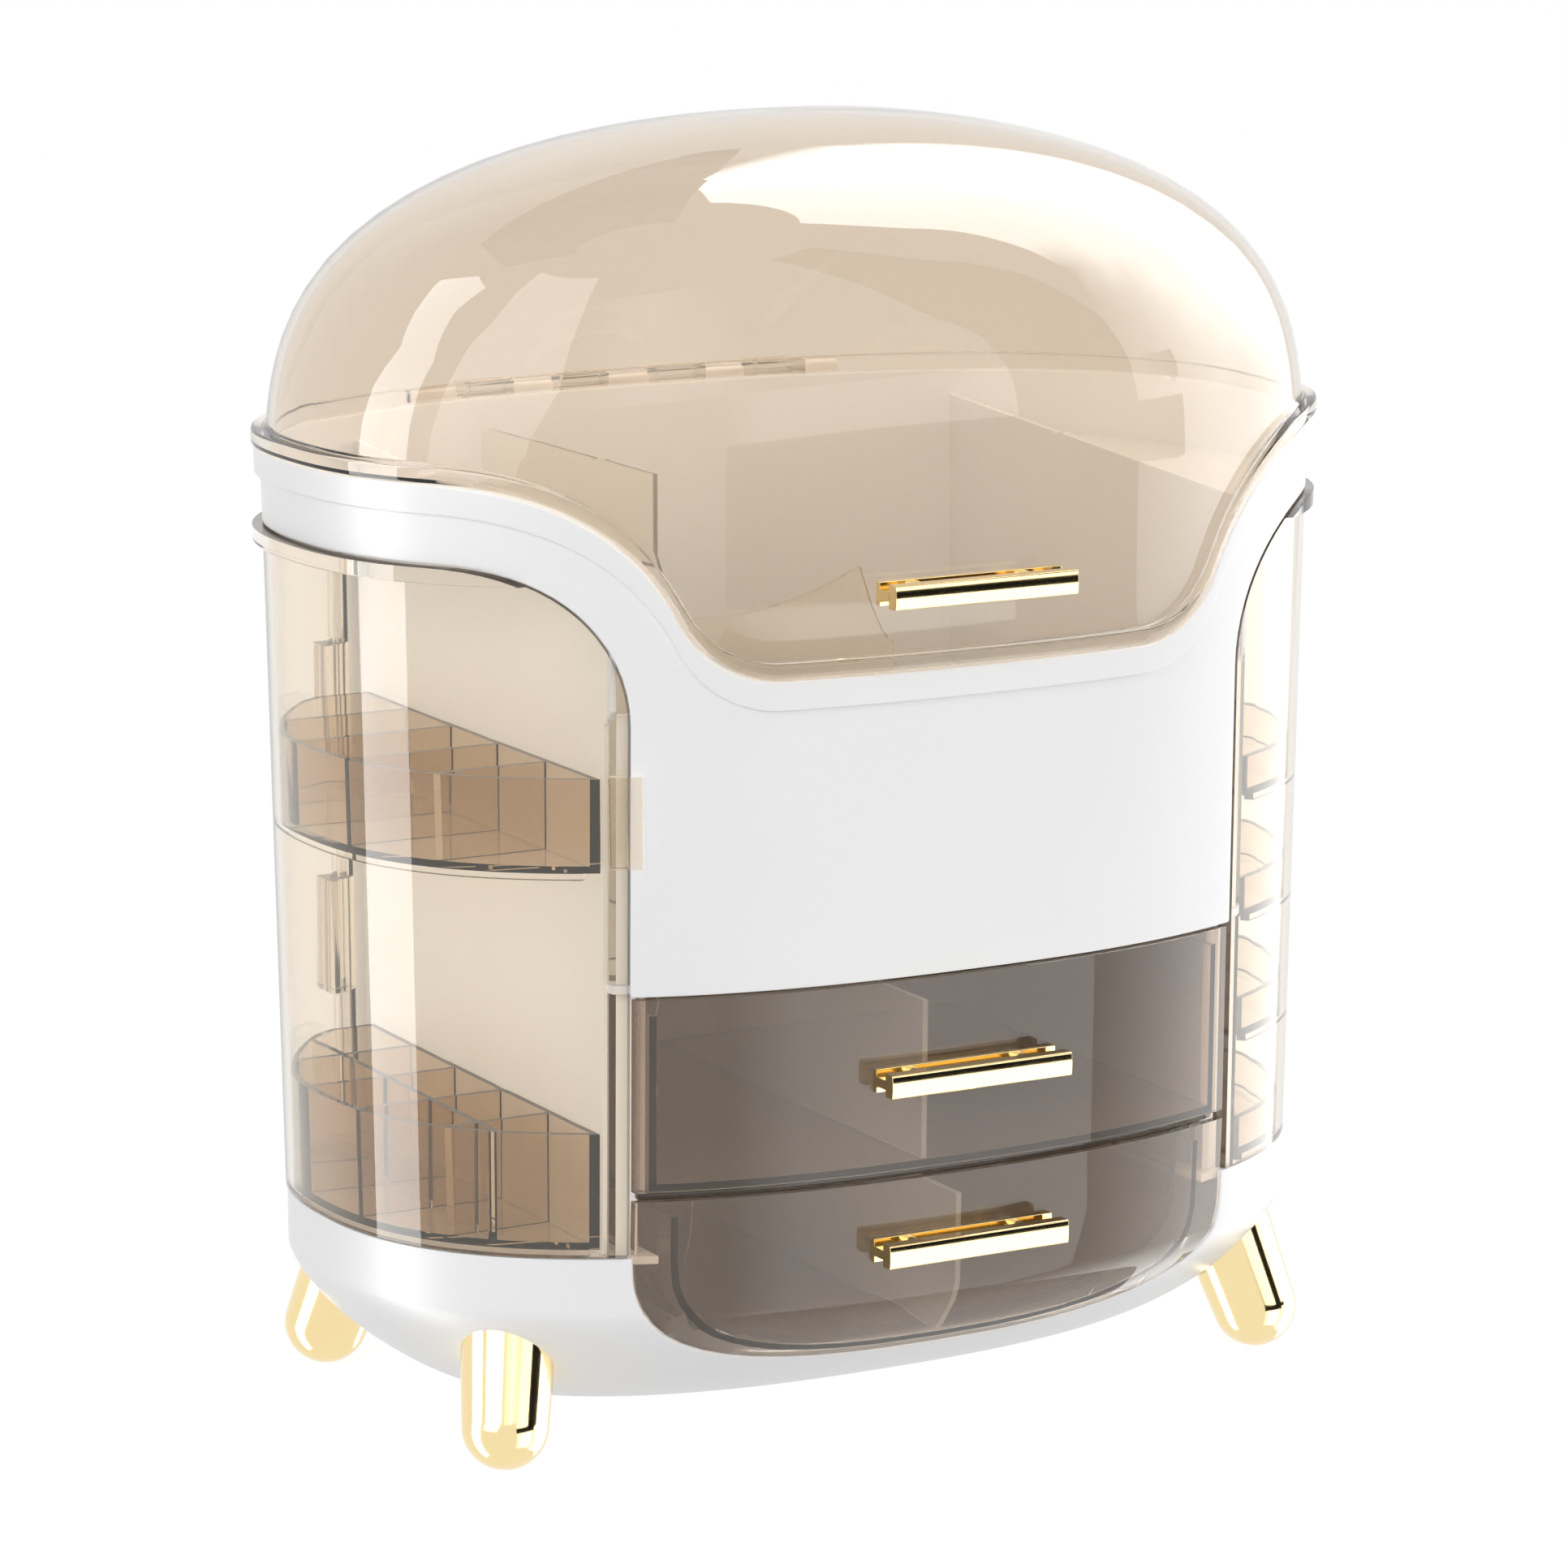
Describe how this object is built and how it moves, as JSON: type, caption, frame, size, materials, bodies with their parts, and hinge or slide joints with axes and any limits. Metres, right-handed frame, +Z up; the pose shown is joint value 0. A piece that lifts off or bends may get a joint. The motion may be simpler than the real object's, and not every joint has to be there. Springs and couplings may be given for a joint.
{
  "type": "makeup organizer",
  "caption": "Oval makeup organizer on splayed feet, with a clear domed lid, swing-out side doors holding racks and trays, and stacked smoked drawers behind bowed fronts.",
  "frame": {"origin": "on the surface it stands on, under the middle of its box", "axes": "+Z up, the drawers and the front panel face -Y, +X to the right seen from the front"},
  "size_m": [0.3302, 0.229, 0.3795],
  "materials": {
    "white_abs": "glossy moulded white",
    "champagne_clear": "clear, tinted champagne, polished",
    "smoked_clear": "clear, tinted smoke brown, polished",
    "gold_plating": "bright gold plating",
    "steel": "plain steel"
  },
  "bodies": {
    "case": {"base_tub": "white_abs", "base_deck": "white_abs", "upper_body": "white_abs", "drawer_housing": "smoked_clear", "top_insert": "champagne_clear", "lid_hinge_pin": "steel", "left_door_pin": "steel", "right_door_pin": "steel", "foot_front_left": "gold_plating", "foot_front_right": "gold_plating", "foot_back_left": "gold_plating", "foot_back_right": "gold_plating", "foot_screws": "steel", "case_screws": "steel"},
    "lid": {"dome_lid": "champagne_clear", "lid_handle": "gold_plating", "lid_handle_screws": "steel"},
    "left_door": {"left_door": "champagne_clear", "left_rack_lower": "champagne_clear", "left_rack_upper": "champagne_clear"},
    "right_door": {"right_door": "champagne_clear", "right_tray_bottom": "champagne_clear", "right_tray_lower": "champagne_clear", "right_tray_middle": "champagne_clear", "right_tray_top": "champagne_clear"},
    "upper_drawer": {"upper_drawer": "smoked_clear", "upper_drawer_divider": "champagne_clear", "upper_drawer_handle": "gold_plating", "upper_drawer_screws": "steel"},
    "lower_drawer": {"lower_drawer": "smoked_clear", "lower_drawer_divider": "champagne_clear", "lower_drawer_handle": "gold_plating", "lower_drawer_screws": "steel"}
  },
  "joints": [
    {"name": "lid_hinge", "type": "hinge", "parent": "case", "child": "lid", "pos_m": [0, 0.1117, 0.2867], "axis": [-1, 0, 0], "range_deg": [0, 100]},
    {"name": "left_door_hinge", "type": "hinge", "parent": "case", "child": "left_door", "pos_m": [-0.112, 0.08684, 0.164], "axis": [0, 0, -1], "range_deg": [0, 100]},
    {"name": "right_door_hinge", "type": "hinge", "parent": "case", "child": "right_door", "pos_m": [0.112, 0.08684, 0.164], "axis": [0, 0, 1], "range_deg": [0, 100]},
    {"name": "upper_drawer_slide", "type": "slide", "parent": "case", "child": "upper_drawer", "axis": [0, -1, 0], "range_m": [0, 0.12]},
    {"name": "lower_drawer_slide", "type": "slide", "parent": "case", "child": "lower_drawer", "axis": [0, -1, 0], "range_m": [0, 0.12]}
  ]
}
